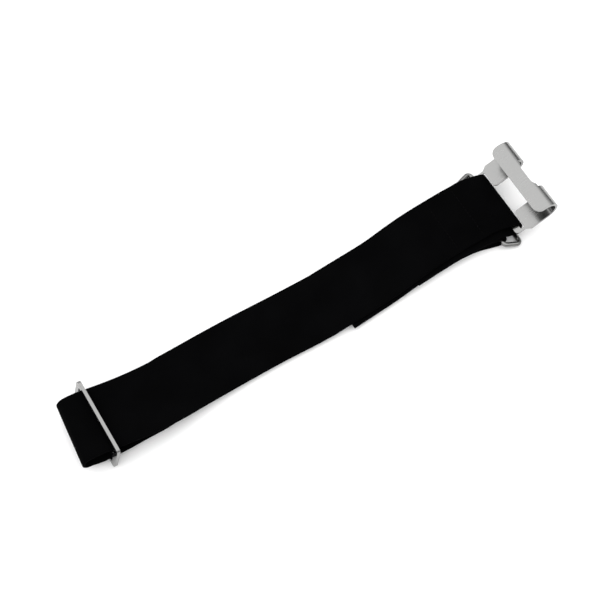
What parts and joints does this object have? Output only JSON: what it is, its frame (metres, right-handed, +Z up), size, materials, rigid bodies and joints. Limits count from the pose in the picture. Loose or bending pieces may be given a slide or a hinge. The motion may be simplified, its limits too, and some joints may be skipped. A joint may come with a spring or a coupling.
{
  "type": "dive weight belt",
  "caption": "Flat webbing belt folded in half, with a bent steel hook at one end, a wire ring for it at the other and a steel keeper slide standing across the fold.",
  "frame": {"origin": "under the middle of the folded belt, on the surface it lies on", "axes": "+X along the belt towards the hook, +Y across the belt, +Z up"},
  "size_m": [0.3829, 0.0704, 0.0371],
  "materials": {
    "webbing": "matt black woven nylon or polyester webbing with folded-in selvedges",
    "thread": "matt black bonded thread",
    "stainless_steel": "satin, tumbled, with a soft sheen"
  },
  "bodies": {
    "lower_half": {"belt_slide_loop": "webbing", "belt_lower_run": "webbing", "belt_ring_loop": "webbing", "belt_ring_tail": "webbing", "ring_seam_front": "thread", "ring_seam_back": "thread"},
    "slide": {"slide_plate": "stainless_steel"},
    "upper_half": {"belt_top_run": "webbing", "belt_hook_loop": "webbing", "belt_hook_tail": "webbing", "hook_seam_front": "thread", "hook_seam_back": "thread"},
    "hook": {"hook_plate": "stainless_steel"},
    "ring": {"wire_ring": "stainless_steel"}
  },
  "joints": [
    {"name": "slide_travel", "type": "slide", "parent": "lower_half", "child": "slide", "axis": [0.995, -0.0995, 0], "range_m": [-0.006, 0.022]},
    {"name": "belt_open", "type": "hinge", "parent": "lower_half", "child": "upper_half", "pos_m": [-0.13, 0, 0.016], "axis": [0, -1, 0], "range_deg": [0, 90]},
    {"name": "hook_swivel", "type": "hinge", "parent": "upper_half", "child": "hook", "pos_m": [0.16141, -0.0014, 0.01105], "axis": [0, -1, 0], "range_deg": [-20, 54]},
    {"name": "ring_swivel", "type": "hinge", "parent": "lower_half", "child": "ring", "pos_m": [0.149, 0.0008, 0.0046], "axis": [0, -1, 0], "range_deg": [-90, 8]}
  ]
}
